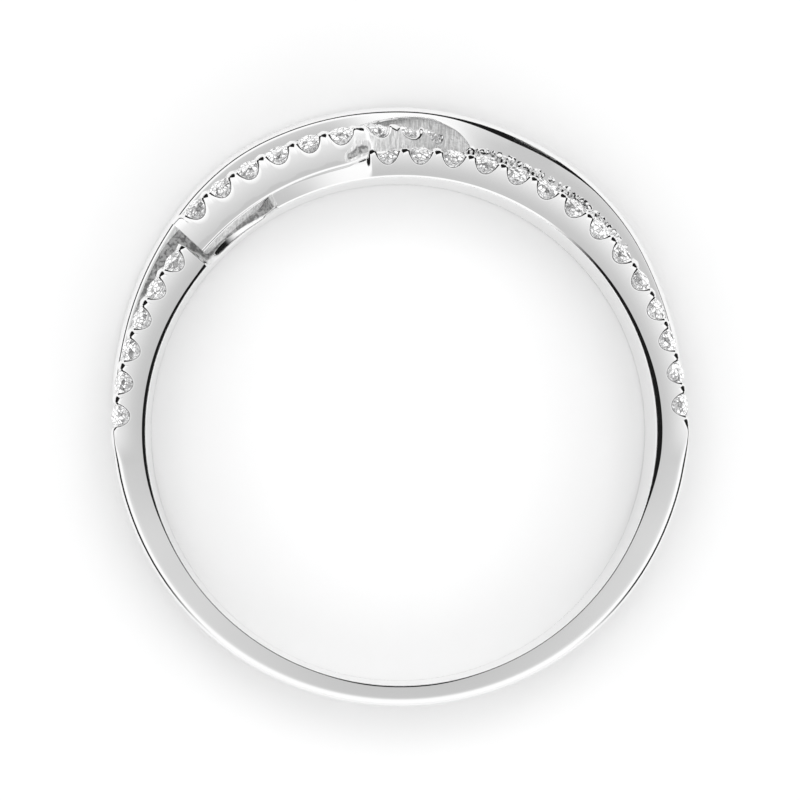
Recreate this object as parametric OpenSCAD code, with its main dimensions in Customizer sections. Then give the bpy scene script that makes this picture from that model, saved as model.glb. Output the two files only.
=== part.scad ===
// A cast crossover ring, in millimetres. The finger hole runs along Z with its centre at the origin.
// The crown is towards +Y. The side with the front strand faces +Z, and the back side rests on a surface.
// The metal is one solid. Each stone is a separate solid that lies in its seat with a small clearance.
// Angles are in degrees round the finger hole, 0 at the top of the crown and positive towards +X.

/* [Finger hole] */
// Diameter of the finger hole
bore_d = 17; // [15:0.1:20]
// Bevel at both rims of the finger hole
rim_bevel = 0.12; // [0.05:0.01:0.2]

/* [Shank] */
// Thickness of the plain shank opposite the crown
shank_t = 0.7; // [0.6:0.05:1]
// Width of the plain shank opposite the crown
shank_w = 2.3; // [1.8:0.1:3]
// Thickness of the shank at the shoulders, where the strands begin
shoulder_t = 1.1; // [1:0.05:1.2]
// Rounding of the shank's outer edges
shank_round = 0.28; // [0.1:0.02:0.35]

/* [Crown] */
// Width across the three strands
crown_w = 4.4; // [4.2:0.1:5]
// Height of the polished strand above the finger hole, where it is highest
crown_t = 2.6; // [2.5:0.05:2.9]
// Height of the front strand's stone girdles above the finger hole
front_t = 1; // [0.95:0.05:1.1]
// Height of the crossing strand's stone girdles above the finger hole, where it lies in front
crossing_t = 1.68; // [1.6:0.05:1.75]
// Thickness of the floor between the strands
floor_t = 0.55; // [0.45:0.05:0.65]
// Lean of the outer strands' tops towards the ring's sides
lean = 12; // [5:1:18]

/* [Strands] */
// Width of a strand with stones
strand_w = 1.36; // [1.3:0.02:1.4]
// Width of the polished strand
polished_w = 1.2; // [1:0.05:1.3]

/* [Stones] */
// Diameter of a stone
stone_d = 0.92; // [0.8:0.02:1]
// Gap between neighbouring stones
stone_gap = 0.19; // [0.15:0.01:0.25]
// Clearance between a stone and its seat
seat_gap = 0.03; // [0.02:0.005:0.05]
// Radius of the U-shaped notches in the strands' walls
notch_r = 0.42; // [0.35:0.01:0.45]
// Height of the beads above the girdles
bead_t = 0.14; // [0.05:0.01:0.2]

/* [Undercut] */
// Depth of the opening under the crossing strand
undercut_depth = 1.5; // [1.1:0.1:1.6]

/* [Hidden] */
bore_r = bore_d / 2;
front_z = (crown_w - strand_w) / 2;
pitch = stone_d + stone_gap;
girdle_t = 0.03;
stone_crown = 0.15 * stone_d;
stone_table = 0.56 * stone_d;
stone_sides = 8;
pavilion_slope = 41;
bore_margin = 0.1;
bore_facets = 180;
bevel_run = 1.5 * rim_bevel;
wall_bulge = 0.03;
// Smallest step between two corners of a section
nudge = 0.02;
// Highest place of the bulge in the front wall, as a share of the wall's height
bulge_height = 0.7;

// Beads: width, and height at the middle of a stone as a share of bead_t
bead_w = 0.2;
bead_valley = 0.3;
bead_shoulder = 0.9;

// Recess under the polished strand: clearance beside the crossing strand, height above it, and its ends
arch_gap = 0.12;
arch_t = 0.35;
arch_start = -10;
arch_end = 7.5;
arch_step = 2.5;

// Fall of the dip's top towards the middle of the ring, and rise of the floor beside the front strand, both
// as shares of their height
dip_fall = 0.15;
floor_rise = 0.15;

// Crossing strand: lap over the front strand's inner edge, least width beside that step, and height of its
// heel
row_lap = 0.06;
step_margin = 0.1;
heel_t = 0.6 * floor_t;
heel_rise = 0.85;

// Angles where the polished strand ends at either side, where the crossing strand's notches change over from
// its front wall to its back wall, and where the plain shank starts
polished_end = 92;
polished_sections = 36;
plain_start = 97;
plain_sections = 24;
crossing_start = -47.6;
turn_over = 8;

// Rows of stones: angle of the first stone, and the last angle that a stone may take
front_left_row = [-86.6, -52];
front_right_row = [-2.9, 90.5];
crossing_front_row = [-42.7, 5.4];
crossing_back_row = [18, 68];

// Angles of the sections without stones: where the front strand dips, where the crossing strand runs under
// the polished strand, and at the crossing strand's end
DIP_ANGLES = [-49.2, -48.4, -47.6, -45.5, -41, -35, -31.5, -29.4, -27.5, -23, -17.5, -12, -9, -7.8];
UNDER_ANGLES = [10.7, 12.9, 15.1];
TAIL_ANGLES = [80, 82.6, 85.2, 87.8];

// Half of the ring's width, as a share of the way from shank_w to crown_w
WIDTH = [
    // angle, share
    [0, 1], [88, 1], [104, 0.86], [120, 0.6], [140, 0.28], [160, 0.06], [180, 0]
];

// Top of the plain metal under the strands, as a share of the way from floor_t to shoulder_t
FLOOR = [
    // angle, share
    [-96, 1], [-84, 0.8], [-72, 0.2], [-60, 0], [60, 0], [72, 0.2], [84, 0.8], [96, 1]
];

// Thickness of the plain shank, as a share of the way from shank_t to shoulder_t
SHANK = [
    // angle, share
    [90, 1], [110, 0.72], [125, 0.52], [145, 0.26], [165, 0.06], [180, 0]
];

// Girdle height of the front strand's stones, as a share of front_t
FRONT_HEIGHT = [
    // angle, share
    [-97, 0.93], [-80, 0.98], [-60, 1.02], [-48, 1], [-8, 0.85], [6, 0.86], [20, 0.965],
    [36, 1.02], [62, 1.02], [80, 0.96], [97, 0.96]
];

// Top of the front strand where it dips under the crossing strand, as a share of front_t
FRONT_DIP = [
    // angle, share
    [-50, 1], [-48, 0.4], [-40, 0.36], [-30, 0.46], [-24, 0.5], [-12, 0.56], [-7.5, 0.56], [-6.3, 1]
];

// Set-back of the front edge, as a share of undercut_depth
SET_BACK = [
    // angle, share
    [-49.6, 0], [-47.6, 0.85], [-44, 1], [-36, 1], [-31, 0.8], [-27.5, 0.1], [-9, 0.08], [-7.6, 0]
];

// The crossing strand: place across the ring as a share of front_z, girdle height as a share of crossing_t,
// underside above the finger hole as a share of crossing_t, width of its foot as a share of undercut_depth
CROSSING = [
    // angle, place, height, underside, foot
    [-48, 1, 0.98, 0.24, 0.42], [-40, 1, 1, 0.24, 0.42], [-29, 1, 1.01, 0.22, 0.42],
    [-24, 1, 1.01, 0.1, 0.1], [-12, 1, 1, 0.1, 0], [-9, 0.98, 1, 0.3, 0], [-6.6, 0.9, 1, 0.62, 0],
    [0, 0.5, 1, 0.62, 0], [4.6, 0.02, 0.98, 0.4, 0], [9, -0.5, 0.93, 0.1, 0], [14, -0.84, 0.86, 0.1, 0],
    [21, -0.97, 0.78, 0.1, 0], [36, -0.97, 0.68, 0.1, 0], [60, -0.97, 0.62, 0.1, 0],
    [78, -0.97, 0.56, 0.1, 0], [88, -0.97, 0.4, 0.1, 0]
];

// The polished strand: place across the ring as a share of front_z, height as a share of crown_t
POLISHED = [
    // angle, place, height
    [-92, -1, 0.4], [-84, -1, 0.52], [-70, -1, 0.62], [-60, -1, 0.705], [-50, -1, 0.8], [-40, -1, 0.905],
    [-30, -1, 0.98], [-20, -0.98, 1], [-8, -0.86, 1], [4, -0.42, 0.975], [14, -0.08, 0.93], [24, 0.04, 0.893],
    [36, 0.06, 0.838], [48, 0.06, 0.752], [60, 0.06, 0.63], [72, 0.06, 0.53], [82, 0.06, 0.47],
    [92, 0.06, 0.4]
];

// Slices along one stone, as shares of notch_r
SLICES = [-1, -0.72, 0, 0.72, 1];

// Rounded outer edge of the plain shank
SHANK_EDGE = [
    // in from the side, drop below the top, both as shares of shank_round
    [0, 1], [0.3, 0.45], [1, 0.1]
];

// Stations across the top of the plain shank, as shares of its front strand's width
SHANK_TOP = [0.45, 0.6, 0.8, 1];

// Rounded top of the polished strand
POLISHED_PROFILE = [
    // place across, drop below the top, both as shares of the half width
    [1, 1.4], [0.97, 0.7], [0.72, 0.16], [0.3, 0], [-0.3, 0], [-0.72, 0.16], [-0.97, 0.7], [-1, 1.4]
];

// Rounded top of the recess under the polished strand
ARCH_PROFILE = [
    // place across as a share of the half width, drop below the top as a share of arch_t
    [1, 1], [0.7, 0.25], [0, 0], [-0.7, 0.25], [-1, 1]
];

function degrees(arc, r) = arc / r * 180 / PI;
function limited(x, low, high) = min(max(x, low), high);

// Row of a table whose span holds the angle
function row_at(table, a, i = 0) =
    i >= len(table) - 2 || a < table[i + 1][0] ? i : row_at(table, a, i + 1);

// Slope of a table's column at one of its rows
function row_slope(table, i, col) =
    i == 0 || i == len(table) - 1 ? 0
    : (table[i + 1][col] - table[i - 1][col]) / (table[i + 1][0] - table[i - 1][0]);

// Smooth value of a table's column at an angle
function value_at(table, a, col = 1) =
    let (i = row_at(table, a))
    let (span = table[i + 1][0] - table[i][0])
    let (u = limited((a - table[i][0]) / span, 0, 1))
    let (rise = table[i + 1][col] - table[i][col])
    let (m0 = row_slope(table, i, col) * span)
    let (m1 = row_slope(table, i + 1, col) * span)
    table[i][col] + u * m0 + u * u * (3 * rise - 2 * m0 - m1) + u * u * u * (m0 + m1 - 2 * rise);

function half_width(a) =
    shank_w / 2 + (crown_w - shank_w) / 2 * value_at(WIDTH, abs(a));

function shank_r(a) =
    bore_r + shank_t + (shoulder_t - shank_t) * value_at(SHANK, abs(a));

function floor_r(a) =
    abs(a) >= plain_start ? shank_r(a) : bore_r + floor_t + (shoulder_t - floor_t) * value_at(FLOOR, a);

function front_face(a) = half_width(a) - undercut_depth * value_at(SET_BACK, a);

// A point of the ring at an angle, a place across it and a radius
function ring_point(a, z, r) = [r * sin(a), r * cos(a), z];

// Girdle radius and place across of the front strand
function front_girdle(a) = bore_r + front_t * value_at(FRONT_HEIGHT, a);
function front_place(a) = half_width(a) - strand_w / 2;

// Girdle radius, place across and lean of the crossing strand
function crossing_girdle(a) = bore_r + crossing_t * value_at(CROSSING, a, 2);
function crossing_place(a) = front_z * value_at(CROSSING, a);
function crossing_lean(a) = lean * value_at(CROSSING, a);

// Heading of a strand off the ring's own direction, from its places half a degree before and after
function heading(table, r, a) =
    atan2(front_z * (value_at(table, a + 0.5) - value_at(table, a - 0.5)), r * PI / 180);

// Wall, seat and wall of a strand at a distance s from the middle of a stone, as [across, above the girdle]
function seat_profile(s) =
    let (half = strand_w / 2)
    let (hole = stone_d / 2 + seat_gap)
    let (tip = abs(s) > notch_r ? 1 : 0)
    let (notch = -sqrt(max(notch_r * notch_r - s * s, 0)))
    let (edge = sqrt(max(hole * hole - s * s, 0)))
    let (bridge = -girdle_t - seat_gap)
    let (seat = min(bridge, bridge - (stone_d / 2 - abs(s)) * tan(pavilion_slope)))
    let (mid_seat = min(bridge, bridge - (stone_d / 2 - norm([s, edge / 2])) * tan(pavilion_slope)))
    let (back = bead_t * (bead_valley + (1 - bead_valley) * pow(2 * s / pitch, 2)))
    let (shoulder = bead_t * bead_shoulder)
    tip == 1 ? [
        [half, bead_t], [half - bead_w, shoulder], [0, bridge], [-bead_w, bridge],
        [1.5 * bead_w - half, bridge], [bead_w - half, shoulder], [-half, bead_t]
    ] : [
        [half, notch], [edge, min(notch, bridge)], [0, min(notch, seat)],
        [-edge / 2, mid_seat], [-edge, bridge], [-edge - nudge, back], [-half, back]
    ];

// The same profile leant by an angle between upright walls, as [across, radius]. Its first station keeps
// its height.
function leant(profile, angle, girdle) = [
    for (i = [0 : len(profile) - 1])
        let (p = profile[i])
        let (wall = i == 0 || i == len(profile) - 1)
        [
            wall ? p[0] : p[0] * cos(angle) + p[1] * sin(angle),
            i == 0 ? girdle + p[1] : girdle + p[1] * cos(angle) - p[0] * sin(angle)
        ]
];

// A profile with its front and back exchanged
function turned(profile) = [for (i = [len(profile) - 1 : -1 : 0]) [-profile[i][0], profile[i][1]]];

// Angles of a row's stones along the front strand and along the crossing strand, by equal steps of arc
function front_row(a, last) =
    let (next = a + degrees(pitch, front_girdle(a)))
    next > last ? [a] : concat([a], front_row(next, last));

function crossing_row(a, last) =
    let (r = crossing_girdle(a))
    let (next = a + degrees(pitch * cos(heading(CROSSING, r, a + degrees(pitch / 2, r))), r))
    next > last ? [a] : concat([a], crossing_row(next, last));

front_left = front_row(front_left_row[0], front_left_row[1]);
front_right = front_row(front_right_row[0], front_right_row[1]);
front_stones = concat(front_left, front_right);
crossing_front = crossing_row(crossing_front_row[0], crossing_front_row[1]);
crossing_back = crossing_row(crossing_back_row[0], crossing_back_row[1]);
crossing_stones = concat(crossing_front, crossing_back);

function two_digits(n) = n < 10 ? str("0", n) : str(n);
front_names = [for (i = [1 : len(front_stones)]) str("front_stone_", two_digits(i))];
crossing_names = [for (i = [1 : len(crossing_stones)]) str("crossing_stone_", two_digits(i))];

// Slices along a row of stones, as [angle, distance from the nearest stone's middle along the strand]
function row_slices(stones, girdles, turns) = [
    for (i = [0 : len(stones) - 1])
        let (per_length = degrees(cos(turns[i]), girdles[i]))
        each concat(
            i == 0 ? [[stones[0] - per_length * pitch / 2, pitch / 2]] : [],
            [for (k = SLICES) [stones[i] + per_length * k * notch_r, k * notch_r]],
            i == len(stones) - 1 ? [[stones[i] + per_length * pitch / 2, pitch / 2]]
            : [[(stones[i] + stones[i + 1]) / 2, pitch / 2]]
        )
];

// A closed solid through sections of equal length, end to end or joined into a loop
module swept(sections, loop = false) {
    n = len(sections[0]);
    m = len(sections);
    last = loop ? m - 1 : m - 2;
    sides = [
        for (i = [0 : last], j = [0 : n - 1])
            let (a = i * n + j)
            let (b = i * n + (j + 1) % n)
            let (c = ((i + 1) % m) * n + (j + 1) % n)
            let (d = ((i + 1) % m) * n + j)
            each [[a, b, c], [a, c, d]]
    ];
    start = [for (j = [n - 1 : -1 : 0]) j];
    end = [for (j = [0 : n - 1]) (m - 1) * n + j];
    polyhedron([for (s = sections) each s], loop ? sides : concat(sides, [start, end]), convexity = 8);
}

// Outer line of the plain shank or of the dip, in as many stations as a seat has, with a fall across it
function plain_top(a, r, fall) =
    let (z = front_face(a))
    concat(
        [for (p = SHANK_EDGE) [z - p[0] * shank_round, r - p[1] * shank_round]],
        [for (share = SHANK_TOP) [z - share * strand_w, r - share * fall]]
    );

// One section of the ring's body at an angle, with the front strand's profile given as [place, radius]
function body_section(a, top) =
    let (z = front_face(a))
    let (back = -half_width(a))
    let (r = floor_r(a))
    let (low = bore_r - bore_margin / 2)
    let (bevel = bore_r + rim_bevel)
    let (mid = bore_r + min(0.5 * (front_girdle(a) - notch_r - bore_r), bulge_height * (top[0][1] - bore_r)))
    let (edge = SHANK_EDGE[len(SHANK_EDGE) - 1] * shank_round)
    let (inner = top[len(top) - 1])
    [
        for (p = concat(
            [[z - bevel_run, low], [z, bevel], [z + wall_bulge, mid]],
            top,
            [[min(inner[0] - nudge, z - strand_w), r + floor_rise * (inner[1] - r)]],
            [[back + edge[0], r - edge[1]]],
            [[back, r - shank_round], [back, bevel], [back + bevel_run, low]]
        )) ring_point(a, p[0], p[1])
    ];

function shank_section(a) = body_section(a, plain_top(a, shank_r(a), 0));

function dip_section(a) =
    let (t = front_t * value_at(FRONT_DIP, a))
    body_section(a, plain_top(a, bore_r + t, dip_fall * t));

function seat_section(slice) =
    let (a = slice[0])
    let (profile = leant(seat_profile(slice[1]), lean, front_girdle(a)))
    body_section(a, [for (p = profile) [front_place(a) + p[0], p[1]]]);

module body() {
    left = row_slices(front_left, [for (a = front_left) front_girdle(a)], [for (a = front_left) 0]);
    right = row_slices(front_right, [for (a = front_right) front_girdle(a)], [for (a = front_right) 0]);
    shank_step = (360 - 2 * plain_start) / plain_sections;
    shank = [for (k = [0 : plain_sections]) plain_start + k * shank_step];
    sections = concat(
        [for (s = left) seat_section(s)],
        [for (a = DIP_ANGLES) dip_section(a)],
        [for (s = right) seat_section(s)],
        [for (a = shank) shank_section(a > 180 ? a - 360 : a)]
    );
    swept(sections, loop = true);
}

// A point of a strand at an angle, off its own middle line and at a radius
function strand_point(table, a, across, r) =
    let (turn = heading(table, r, a))
    ring_point(a - degrees(across * sin(turn), r), front_z * value_at(table, a) + across * cos(turn), r);

// One section of the crossing strand. Without a foot it ends inside the ring's body, above the bevel.
function crossing_section(slice) =
    let (a = slice[0])
    let (girdle = crossing_girdle(a))
    let (side = a > turn_over ? -1 : 1)
    let (upright = leant(seat_profile(slice[1]), side * crossing_lean(a), girdle))
    let (top = side < 0 ? turned(upright) : upright)
    let (under = bore_r + crossing_t * value_at(CROSSING, a, 3))
    let (mid = (max(under, bore_r + floor_t) + girdle - notch_r) / 2)
    let (half = strand_w / 2)
    let (foot = undercut_depth * value_at(CROSSING, a, 4))
    let (low = foot > 0 ? bore_r - bore_margin / 2 : bore_r + rim_bevel)
    let (row = (front_z - half + row_lap - crossing_place(a)) / cos(heading(CROSSING, girdle, a)))
    let (step = foot > 0 ? -half - foot / 2 : limited(row, step_margin - half, half - step_margin))
    [
        for (p = concat(
            [[step, under], [half, under], [half + wall_bulge, mid]], top,
            [[-half, bore_r + heel_t + heel_rise * foot], [-half - foot, low], [step, low]]
        )) strand_point(CROSSING, a, p[0], p[1])
    ];

function crossing_slices(stones) =
    let (girdles = [for (a = stones) crossing_girdle(a)])
    row_slices(stones, girdles, [for (i = [0 : len(stones) - 1]) heading(CROSSING, girdles[i], stones[i])]);

module crossing_strand() {
    slices = concat(
        [[crossing_start, pitch / 2]], crossing_slices(crossing_front),
        [for (a = UNDER_ANGLES) [a, pitch / 2]], crossing_slices(crossing_back),
        [for (a = TAIL_ANGLES) [a, pitch / 2]]
    );
    swept([for (s = slices) crossing_section(s)]);
}

function polished_section(a) =
    let (top = bore_r + crown_t * value_at(POLISHED, a, 2))
    let (half = polished_w / 2)
    let (low = bore_r - bore_margin)
    [
        for (p = concat(
            [[half, low]], [for (q = POLISHED_PROFILE) [q[0] * half, top - q[1] * half]], [[-half, low]]
        )) strand_point(POLISHED, a, p[0], p[1])
    ];

module polished_strand() {
    step = 2 * polished_end / polished_sections;
    swept([for (k = [0 : polished_sections]) polished_section(k * step - polished_end)]);
}

// The arch where the crossing strand goes in under the polished strand
module arch() {
    half = strand_w / 2 + arch_gap;
    low = bore_r + heel_t;
    swept([
        for (a = [arch_start : arch_step : arch_end])
            let (r = crossing_girdle(a) + stone_crown + arch_t)
            let (top = [for (q = ARCH_PROFILE) [q[0] * half, r - q[1] * arch_t]])
            [for (p = concat([[half, low]], top, [[-half, low]])) strand_point(CROSSING, a, p[0], p[1])]
    ]);
}

module finger_hole() {
    cylinder(h = 2 * crown_w, r = bore_r, center = true, $fn = bore_facets);
}

// The strands are joined into one mesh at their own width. The finger hole is cut last, as a true cylinder.
module band() {
    color("gainsboro")
        difference() {
            resize([0, 0, crown_w + wall_bulge])
                union() {
                    body();
                    crossing_strand();
                    difference() {
                        polished_strand();
                        arch();
                    }
                }
            finger_hole();
        }
}

// A round brilliant with its girdle in the plane z = 0 and its table up
module brilliant() {
    r = stone_d / 2;
    culet = -girdle_t / 2 - r * tan(pavilion_slope);
    levels = [[stone_table / 2, stone_crown], [r, girdle_t / 2], [r, -girdle_t / 2]];
    points = concat(
        [for (l = levels, k = [0 : stone_sides - 1]) ring_point(k * 360 / stone_sides, l[1], l[0])],
        [[0, 0, culet]]
    );
    n = stone_sides;
    bands = [
        for (i = [0, 1], k = [0 : n - 1])
            let (next = (k + 1) % n)
            [i * n + k, i * n + next, (i + 1) * n + next, (i + 1) * n + k]
    ];
    pavilion = [for (k = [0 : n - 1]) [2 * n + k, 2 * n + (k + 1) % n, 3 * n]];
    table = [for (k = [n - 1 : -1 : 0]) k];
    polyhedron(points, concat([table], bands, pavilion));
}

// Puts a stone at an angle round the ring, with its table outwards and leant towards the front
module seated(a, z, r, turn, lean_angle) {
    rotate([0, 0, -a])
        translate([0, r, z])
            rotate([0, turn, 0])
                rotate([lean_angle - 90, 0, 0])
                    color("white") brilliant();
}

module front_stone(i) {
    a = front_stones[i];
    seated(a, front_place(a), front_girdle(a), 0, lean);
}

module crossing_stone(i) {
    a = crossing_stones[i];
    r = crossing_girdle(a);
    seated(a, crossing_place(a), r, -heading(CROSSING, r, a), crossing_lean(a));
}

band();
for (i = [0 : len(front_stones) - 1])
    front_stone(i);
for (i = [0 : len(crossing_stones) - 1])
    crossing_stone(i);
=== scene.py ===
"""The looks of a cast crossover ring: white gold, three interlaced strands, two of them set with brilliants.

Lengths are in millimetres and in the CAD frame until a mesh is finished, and then scaled to metres. The
finger hole runs along Z with its centre at the origin, the crown is towards +Y and the front strand's side
is +Z. Angles are in degrees round the finger hole, 0 at the crown's top and positive towards +X.
"""

from __future__ import annotations

import logging
import math
import random
from abc import ABC, abstractmethod
from dataclasses import dataclass, replace
from enum import Enum
from typing import Callable, ClassVar, Mapping, NamedTuple, Sequence

import bmesh
import bpy
from mathutils import Euler, Matrix, Vector

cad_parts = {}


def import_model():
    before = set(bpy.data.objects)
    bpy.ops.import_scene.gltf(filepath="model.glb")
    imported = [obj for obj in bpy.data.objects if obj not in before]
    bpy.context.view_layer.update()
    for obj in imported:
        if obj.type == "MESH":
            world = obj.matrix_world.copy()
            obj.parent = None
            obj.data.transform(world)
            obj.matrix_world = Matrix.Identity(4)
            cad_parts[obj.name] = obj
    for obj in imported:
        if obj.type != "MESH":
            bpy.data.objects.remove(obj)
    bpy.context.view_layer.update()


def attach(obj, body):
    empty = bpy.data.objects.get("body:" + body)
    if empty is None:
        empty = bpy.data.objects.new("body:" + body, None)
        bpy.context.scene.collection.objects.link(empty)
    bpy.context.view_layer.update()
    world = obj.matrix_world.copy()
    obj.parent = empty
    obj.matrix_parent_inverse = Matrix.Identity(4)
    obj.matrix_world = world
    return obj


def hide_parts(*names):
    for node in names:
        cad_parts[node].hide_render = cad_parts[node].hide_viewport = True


LOG = logging.getLogger("crossover_ring")
METRES = 0.001
MERGE_DISTANCE = 1e-5
SHARP_EDGE = math.radians(40.0)
METAL_NODE = "band"
# Layer of each vertex's skin, 0 where the metal is polished, and its values for the two rough skins: brushed,
# and rough cast darkened with painted shade
ROUGH_AND_SHADE_LAYER = "rough"
BRUSHED = 1.0
# Rough cast skin whose dark grey is painted shade, put in recesses and under the strands
CAST_WITH_PAINTED_SHADE = 2.0


def sin_deg(angle: float) -> float:
    """Returns the sine of an angle in degrees."""
    return math.sin(math.radians(angle))


def cos_deg(angle: float) -> float:
    """Returns the cosine of an angle in degrees."""
    return math.cos(math.radians(angle))


def tan_deg(angle: float) -> float:
    """Returns the tangent of an angle in degrees."""
    return math.tan(math.radians(angle))


def limited(value: float, low: float, high: float) -> float:
    """Returns value kept between low and high."""
    return min(max(value, low), high)


def smooth_step(value: float, start: float, end: float) -> float:
    """Returns 0 before start, 1 after end and a smooth rise between them."""
    u = limited((value - start) / (end - start), 0.0, 1.0)
    return u * u * (3.0 - 2.0 * u)


def mixed(a: float, b: float, share: float) -> float:
    """Returns a at share 0 and b at share 1."""
    return a + (b - a) * share


def spread(start: float, end: float, count: int) -> list[float]:
    """Returns count even values from start to end."""
    return [mixed(start, end, i / (count - 1)) for i in range(count)]


def degrees_of(arc: float, radius: float) -> float:
    """Returns the angle of an arc at a radius, in degrees."""
    return math.degrees(arc / radius)


def ring_point(angle: float, across: float, radius: float) -> Vector:
    """Returns a point of the ring from its angle, its place across the ring and its radius."""
    return Vector((radius * sin_deg(angle), radius * cos_deg(angle), across))


class Table:
    """A smooth curve through rows that start with an angle."""

    def __init__(self, *rows: tuple[float, ...]) -> None:
        """Keeps the rows."""
        self.rows = rows

    def _slope(self, i: int, column: int) -> float:
        """Finds the slope of a column at one of its rows, level at both ends.

        Args:
            i: the row's number.
            column: the column's number.

        Returns:
            The slope per degree.
        """
        if i in (0, len(self.rows) - 1):
            return 0.0
        before, after = self.rows[i - 1], self.rows[i + 1]
        return (after[column] - before[column]) / (after[0] - before[0])

    def at(self, angle: float, column: int = 1) -> float:
        """Finds a column's value at an angle.

        Args:
            angle: angle round the finger hole.
            column: which of the row's values is wanted, counted from 1.

        Returns:
            The value of a cubic through the rows, and that of the end rows beyond them.
        """
        i = 0
        while i < len(self.rows) - 2 and angle >= self.rows[i + 1][0]:
            i += 1
        low, high = self.rows[i], self.rows[i + 1]
        span = high[0] - low[0]
        u = limited((angle - low[0]) / span, 0.0, 1.0)
        rise = high[column] - low[column]
        m0 = self._slope(i, column) * span
        m1 = self._slope(i + 1, column) * span
        return low[column] + u * m0 + u * u * (3 * rise - 2 * m0 - m1) + u * u * u * (m0 + m1 - 2 * rise)


class Stretch(NamedTuple):
    """A stretch of the ring with soft ends: the angles where it starts, is full, starts to fade and ends."""

    start: float
    full: float
    fading: float
    end: float

    def share(self, angle: float) -> float:
        """Returns 1 in the stretch, 0 outside it and a smooth change at its ends."""
        return smooth_step(angle, self.start, self.full) * (1.0 - smooth_step(angle, self.fading, self.end))


# Half of the ring's width, as a share of the way from shank_w to crown_w: angle, share
WIDTH = Table((0, 1), (88, 1), (104, 0.86), (120, 0.6), (140, 0.28), (160, 0.06), (180, 0))
# Top of the plain metal under the strands, from floor_t to shoulder_t: angle, share
FLOOR = Table((-96, 1), (-84, 0.8), (-72, 0.2), (-60, 0), (60, 0), (72, 0.2), (84, 0.8), (96, 1))
# Thickness of the plain shank, from shank_t to shoulder_t: angle, share
SHANK = Table((90, 1), (110, 0.72), (125, 0.52), (145, 0.26), (165, 0.06), (180, 0))
# Bevel at the front rim of the finger hole: angle, bevel
RIM = Table(
    (-180, 0.06), (-172, 0.06), (-160, 0.03), (-115, 0.04), (-98, 0.12), (-75, 0.13), (-55, 0.1),
    (-50, 0.12), (-44, 0.24), (-38, 0.2), (-33, 0.1), (-28, 0.07), (0, 0.07), (20, 0.08), (40, 0.08),
    (67, 0.13), (80, 0.18), (94, 0.18), (108, 0.05), (125, 0.03), (160, 0.03), (172, 0.06), (180, 0.06),
)
# Girdle height of the front strand's stones, as a share of front_t: angle, share
FRONT_HEIGHT = Table(
    (-97, 0.93), (-80, 0.98), (-60, 1.02), (-48, 1), (-8, 0.85), (6, 0.86), (20, 0.96), (36, 1.02),
    (62, 1.02), (80, 0.96), (97, 0.96),
)
# Top of the front strand's back wall above its usual height: angle, rise
BACK_RISE = Table((0, 0), (9, 0.02), (14, 0.17), (32, 0.15), (50, 0.08), (60, 0))
# Top of the front strand where it dips under the crossing strand, as a share of front_t: angle, share
FRONT_DIP = Table(
    (-50, 1), (-48, 0.4), (-40, 0.36), (-31, 0.46), (-27, 0.6), (-24, 0.64), (-12, 0.66), (-7.5, 0.66),
    (-6.3, 1),
)
# Set-back of the front edge, as a share of undercut_depth: angle, share
SET_BACK = Table(
    (-49.6, 0), (-47.6, 0.85), (-44, 1), (-36, 0.98), (-32.5, 0.9), (-31.2, 0.75), (-30, 0.3),
    (-29, 0.1), (-28, 0.08), (-26, 0.08), (-20, 0.08), (-7.6, 0),
)
# Crossing strand: angle, place (of front_z), girdle and underside (of crossing_t), foot (of undercut_depth)
CROSSING = Table(
    (-48, 1, 0.98, 0.25, 0.42), (-40, 1, 1, 0.27, 0.42), (-29, 1, 1.01, 0.3, 0.42), (-24, 1, 1.01, 0.31, 0.1),
    (-12.4, 1, 1, 0.33, 0), (-11, 1, 1, 0.34, 0), (-9, 0.98, 1, 0.38, 0), (-6.6, 0.9, 1, 0.45, 0),
    (0, 0.5, 1, 0.48, 0), (4.6, 0.02, 0.98, 0.4, 0), (9, -0.5, 0.93, 0.1, 0), (14, -0.84, 0.86, 0.1, 0),
    (21, -0.97, 0.78, 0.1, 0), (36, -0.97, 0.68, 0.1, 0), (60, -0.97, 0.62, 0.1, 0),
    (78, -0.97, 0.56, 0.1, 0), (88, -0.97, 0.4, 0.1, 0),
)
PLACE, GIRDLE, UNDERSIDE, FOOT = 1, 2, 3, 4
# Polished strand: angle, place (of front_z), top (of crown_t)
POLISHED = Table(
    (-92, -1, 0.4), (-84, -1, 0.52), (-70, -1, 0.62), (-60, -1, 0.705), (-50, -1, 0.8), (-40, -1, 0.905),
    (-30, -1, 0.98), (-20, -0.98, 1), (-8, -0.86, 1), (4, -0.42, 0.975), (14, -0.08, 0.93),
    (24, 0.04, 0.893), (36, 0.06, 0.838), (48, 0.06, 0.752), (60, 0.06, 0.63), (72, 0.06, 0.53),
    (82, 0.06, 0.47), (92, 0.06, 0.4),
)
TOP = 2
# Recess where the crossing strand goes in under the polished strand: angle, radius of its top, depth
ARCH = Table(
    (-11, 10.2, 0), (-8, 10.42, 0.2), (-3.6, 10.54, 0.35), (3.8, 10.68, 0.4), (7, 10.62, 0.35),
    (9.5, 10.5, 0.2), (12, 10.3, 0.12), (14, 10.0, 0.08), (15.5, 9.7, 0),
)
ARCH_TOP, ARCH_DEPTH = 1, 2
# Edge of the polished strand's front wall: angle, width of the soft part, width of the steep part
CREST = Table(
    (-92, 0.03, 0.02), (-60, 0.09, 0.03), (4, 0.09, 0.03), (11, 0.02, 0.07), (21, 0.0, 0.19),
    (30, 0.0, 0.13), (40, 0.01, 0.04), (92, 0.02, 0.02),
)
SOFT, STEEP = 1, 2
# Depth of the crossing strand's notches, as a share of the usual one: angle, share
NOTCH_DEPTH = Table((-12, 1), (-8, 0.8), (2, 0.8), (12, 1))


class Mark(NamedTuple):
    """A point of a section: place across, radius, shift along the strand, and how rough the metal is, whose
    highest value also paints shade on it.
    """

    across: float
    radius: float
    along: float = 0.0
    rough: float = 0.0


Section = list[Mark]
Sections = list[tuple[float, Section]]
Placing = Callable[[float, Mark], Vector]


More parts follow.
